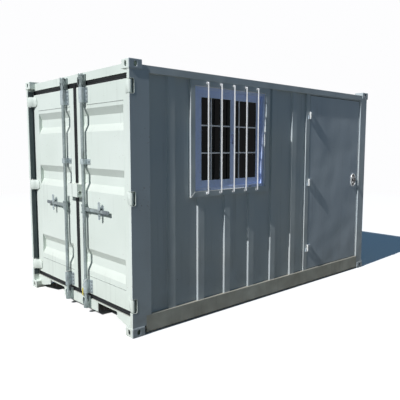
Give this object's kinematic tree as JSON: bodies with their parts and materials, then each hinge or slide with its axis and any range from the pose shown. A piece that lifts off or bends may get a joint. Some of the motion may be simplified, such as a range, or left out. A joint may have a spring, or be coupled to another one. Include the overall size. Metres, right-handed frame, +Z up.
{
  "type": "shipping container cabin",
  "caption": "Short steel container cabin with double cargo doors on one end, and a barred window and a walk-in door in one long side.",
  "frame": {"origin": "on the ground under the middle of the box", "axes": "+Z up; +X along the length, from the cargo doors to the back end; the window and the walk-in door face -Y"},
  "size_m": [3.492, 2.005, 2.2],
  "materials": {
    "end_paint": "satin",
    "side_paint": "satin",
    "casting_paint": "satin",
    "galvanised": "galvanised",
    "seal": "matt",
    "window_alloy": "anodised",
    "pane": "clear",
    "bar_steel": "gloss",
    "plywood": "varnished",
    "knob_black": "matt",
    "bright_steel": "zinc plated",
    "underframe": "matt"
  },
  "bodies": {
    "shell": {"corner_castings": "casting_paint", "door_post_near": "side_paint", "door_post_far": "side_paint", "back_posts": "side_paint", "top_side_rails": "side_paint", "bottom_side_rails": "side_paint", "door_header": "end_paint", "door_sill": "end_paint", "back_end_rails": "side_paint", "fork_channels": "underframe", "cross_members": "underframe", "plywood_floor": "plywood", "roof_sheet": "side_paint", "wall_left_of_window": "side_paint", "wall_below_window": "side_paint", "wall_right_of_window": "side_paint", "wall_far_side": "side_paint", "wall_back_end": "side_paint", "window_surround": "side_paint", "window_frame": "window_alloy", "window_sashes": "window_alloy", "window_glass": "pane", "security_bars": "bar_steel", "walk_in_frame": "side_paint", "walk_in_hinges_frame": "bright_steel", "hinge_pins": "galvanised", "rod_keepers": "galvanised"},
    "near_leaf": {"leaf_frame_near": "end_paint", "leaf_panel_near": "end_paint", "leaf_seal_near": "seal", "hinge_blades_near": "end_paint", "rod_brackets_near": "galvanised", "lock_box_near": "end_paint"},
    "near_rod": {"lock_rod_near": "galvanised"},
    "far_leaf": {"leaf_frame_far": "end_paint", "leaf_panel_far": "end_paint", "leaf_seal_far": "seal", "hinge_blades_far": "end_paint", "rod_brackets_far": "galvanised", "lock_box_far": "end_paint"},
    "far_rod": {"lock_rod_far": "galvanised"},
    "walk_in_door": {"walk_in_leaf": "side_paint", "walk_in_hinges_leaf": "bright_steel", "walk_in_lock_plate": "bright_steel"},
    "knob": {"walk_in_knob": "knob_black"}
  },
  "joints": [
    {"name": "near_leaf_swing", "type": "hinge", "parent": "shell", "child": "near_leaf", "pos_m": [-1.726, -0.973, 1.1], "axis": [0, 0, 1], "range_deg": [0, 200]},
    {"name": "far_leaf_swing", "type": "hinge", "parent": "shell", "child": "far_leaf", "pos_m": [-1.726, 0.973, 1.1], "axis": [0, 0, 1], "range_deg": [-200, 0]},
    {"name": "near_rod_turn", "type": "hinge", "parent": "near_leaf", "child": "near_rod", "pos_m": [-1.718, -0.181, 1.1], "axis": [0, 0, 1], "range_deg": [-100, 0]},
    {"name": "far_rod_turn", "type": "hinge", "parent": "far_leaf", "child": "far_rod", "pos_m": [-1.718, 0.181, 1.1], "axis": [0, 0, 1], "range_deg": [0, 100]},
    {"name": "walk_in_swing", "type": "hinge", "parent": "shell", "child": "walk_in_door", "pos_m": [0.568, -0.989, 1.1], "axis": [0, 0, 1], "range_deg": [-120, 0]},
    {"name": "knob_turn", "type": "hinge", "parent": "walk_in_door", "child": "knob", "pos_m": [1.481, -0.974, 1.133], "axis": [0, -1, 0], "range_deg": [-60, 60]}
  ]
}
